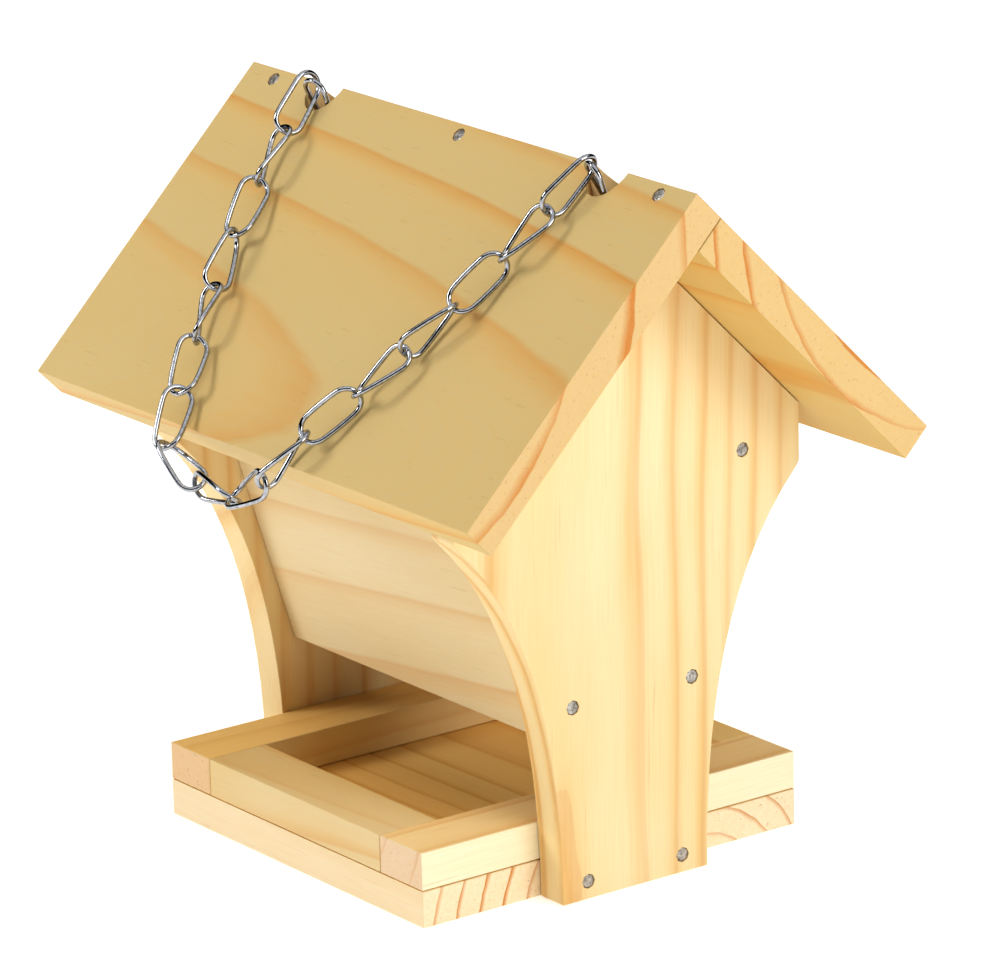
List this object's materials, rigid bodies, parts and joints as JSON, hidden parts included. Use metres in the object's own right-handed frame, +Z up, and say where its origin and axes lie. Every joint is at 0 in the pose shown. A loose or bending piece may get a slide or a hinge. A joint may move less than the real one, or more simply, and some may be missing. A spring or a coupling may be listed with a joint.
{
  "type": "hanging bird feeder",
  "caption": "Wooden hanging bird feeder with a railed tray, waisted end panels, leaning hopper boards and a gable roof that lifts, on a metal chain.",
  "frame": {"origin": "centre of the base board's underside", "axes": "+X along the roof ridge towards the near end panel, -Y towards the slope that the chain lies on, +Z up"},
  "size_m": [0.2336, 0.1942, 0.2369],
  "materials": {
    "pine_tray": "planed raw pine, yellow-tan with orange latewood lines",
    "pine_panel": "planed raw pine, very pale cream with soft darker stripes",
    "pine_hopper": "planed raw pine, beige with fine orange lines",
    "pine_roof": "planed raw pine, tan with broad orange figure",
    "nail_steel": "dull grey bright-steel nail",
    "chain_chrome": "bright plated twisted-link chain"
  },
  "bodies": {
    "feeder": {"base_board": "pine_tray", "end_rail_near": "pine_tray", "end_rail_far": "pine_tray", "side_rail_front": "pine_tray", "side_rail_back": "pine_tray", "end_panel_near": "pine_panel", "end_panel_far": "pine_panel", "hopper_board_front": "pine_hopper", "hopper_board_back": "pine_hopper", "nail_base_front_near": "nail_steel", "nail_base_back_near": "nail_steel", "nail_low_front_near": "nail_steel", "nail_low_back_near": "nail_steel", "nail_high_front_near": "nail_steel", "nail_high_back_near": "nail_steel", "nail_base_front_far": "nail_steel", "nail_base_back_far": "nail_steel", "nail_low_front_far": "nail_steel", "nail_low_back_far": "nail_steel", "nail_high_front_far": "nail_steel", "nail_high_back_far": "nail_steel", "nail_end_rail_front_near": "nail_steel", "nail_end_rail_back_near": "nail_steel", "nail_end_rail_front_far": "nail_steel", "nail_end_rail_back_far": "nail_steel", "nail_side_rail_front_near": "nail_steel", "nail_side_rail_back_near": "nail_steel", "nail_side_rail_front_far": "nail_steel", "nail_side_rail_back_far": "nail_steel", "staple_near": "nail_steel", "staple_far": "nail_steel"},
    "roof": {"roof_board_front": "pine_roof", "roof_board_back": "pine_roof", "nail_ridge_near": "nail_steel", "nail_ridge_middle": "nail_steel", "nail_ridge_far": "nail_steel", "chain_link_near_hole": "chain_chrome", "chain_link_far_hole": "chain_chrome"},
    "chain_legs": {"chain_link_near_1": "chain_chrome", "chain_link_near_2": "chain_chrome", "chain_link_near_3": "chain_chrome", "chain_link_near_4": "chain_chrome", "chain_link_near_5": "chain_chrome", "chain_link_near_6": "chain_chrome", "chain_link_near_eave": "chain_chrome", "chain_link_far_1": "chain_chrome", "chain_link_far_2": "chain_chrome", "chain_link_far_3": "chain_chrome", "chain_link_far_4": "chain_chrome", "chain_link_far_5": "chain_chrome", "chain_link_far_6": "chain_chrome", "chain_link_far_eave": "chain_chrome"},
    "chain_loop": {"chain_link_loop_1": "chain_chrome", "chain_link_loop_2": "chain_chrome", "chain_link_loop_3": "chain_chrome"}
  },
  "joints": [
    {"name": "roof_lift", "type": "slide", "parent": "feeder", "child": "roof", "axis": [0, 0, 1], "range_m": [0, 0.09]},
    {"name": "chain_swing", "type": "hinge", "parent": "roof", "child": "chain_legs", "pos_m": [0, -0.00675, 0.23316], "axis": [-1, 0, 0], "range_deg": [0, 135]},
    {"name": "chain_loop_swing", "type": "hinge", "parent": "chain_legs", "child": "chain_loop", "pos_m": [0, -0.09921, 0.13831], "axis": [-1, 0, 0], "range_deg": [0, 40]}
  ]
}
